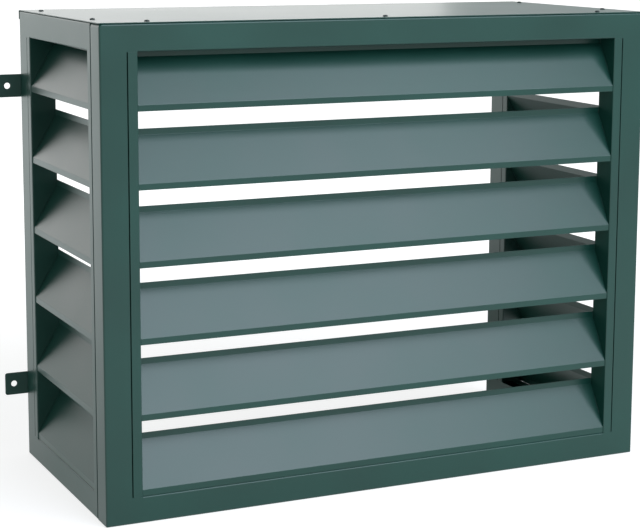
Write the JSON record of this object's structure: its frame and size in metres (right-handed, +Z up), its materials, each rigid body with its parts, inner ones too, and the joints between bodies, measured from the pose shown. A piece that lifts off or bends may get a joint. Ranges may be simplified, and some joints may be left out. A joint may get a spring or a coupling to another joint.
{
  "type": "air conditioner screen",
  "caption": "Louvred sheet-metal cover for an outdoor air conditioner, open at the back and below, with a flat screwed roof and wall tabs.",
  "frame": {"origin": "on the ground, under the middle of the box that bounds the whole cover", "axes": "+Y from the front louvres towards the wall, +Z up, +X to the right seen from the front"},
  "size_m": [1.08, 0.45, 0.8028],
  "materials": {
    "frame_paint": "satin",
    "slat_paint": "satin",
    "roof_paint": "satin",
    "tab_paint": "satin",
    "screw_steel": "satin",
    "zinc_steel": "satin"
  },
  "bodies": {
    "root": {"frame_bolt_left_lower": "zinc_steel", "frame_bolt_left_upper": "zinc_steel", "frame_bolt_right_lower": "zinc_steel", "frame_bolt_right_upper": "zinc_steel", "frame_nut_left_lower": "zinc_steel", "frame_nut_left_upper": "zinc_steel", "frame_nut_right_lower": "zinc_steel", "frame_nut_right_upper": "zinc_steel", "front_frame": "frame_paint", "front_louvre_carrier_left": "frame_paint", "front_louvre_carrier_right": "frame_paint", "front_slat_1": "slat_paint", "front_slat_2": "slat_paint", "front_slat_3": "slat_paint", "front_slat_4": "slat_paint", "front_slat_5": "slat_paint", "front_slat_6": "slat_paint", "left_louvre_carrier_front": "frame_paint", "left_louvre_carrier_rear": "frame_paint", "left_side_frame": "frame_paint", "left_slat_1": "slat_paint", "left_slat_2": "slat_paint", "left_slat_3": "slat_paint", "left_slat_4": "slat_paint", "left_slat_5": "slat_paint", "left_slat_6": "slat_paint", "right_louvre_carrier_front": "frame_paint", "right_louvre_carrier_rear": "frame_paint", "right_side_frame": "frame_paint", "right_slat_1": "slat_paint", "right_slat_2": "slat_paint", "right_slat_3": "slat_paint", "right_slat_4": "slat_paint", "right_slat_5": "slat_paint", "right_slat_6": "slat_paint", "roof_screw_front_1": "screw_steel", "roof_screw_front_2": "screw_steel", "roof_screw_front_3": "screw_steel", "roof_screw_left_1": "screw_steel", "roof_screw_left_2": "screw_steel", "roof_screw_right_1": "screw_steel", "roof_screw_right_2": "screw_steel", "roof_sheet": "roof_paint", "wall_tab_left_lower": "tab_paint", "wall_tab_left_upper": "tab_paint", "wall_tab_right_lower": "tab_paint", "wall_tab_right_upper": "tab_paint"}
  },
  "joints": []
}
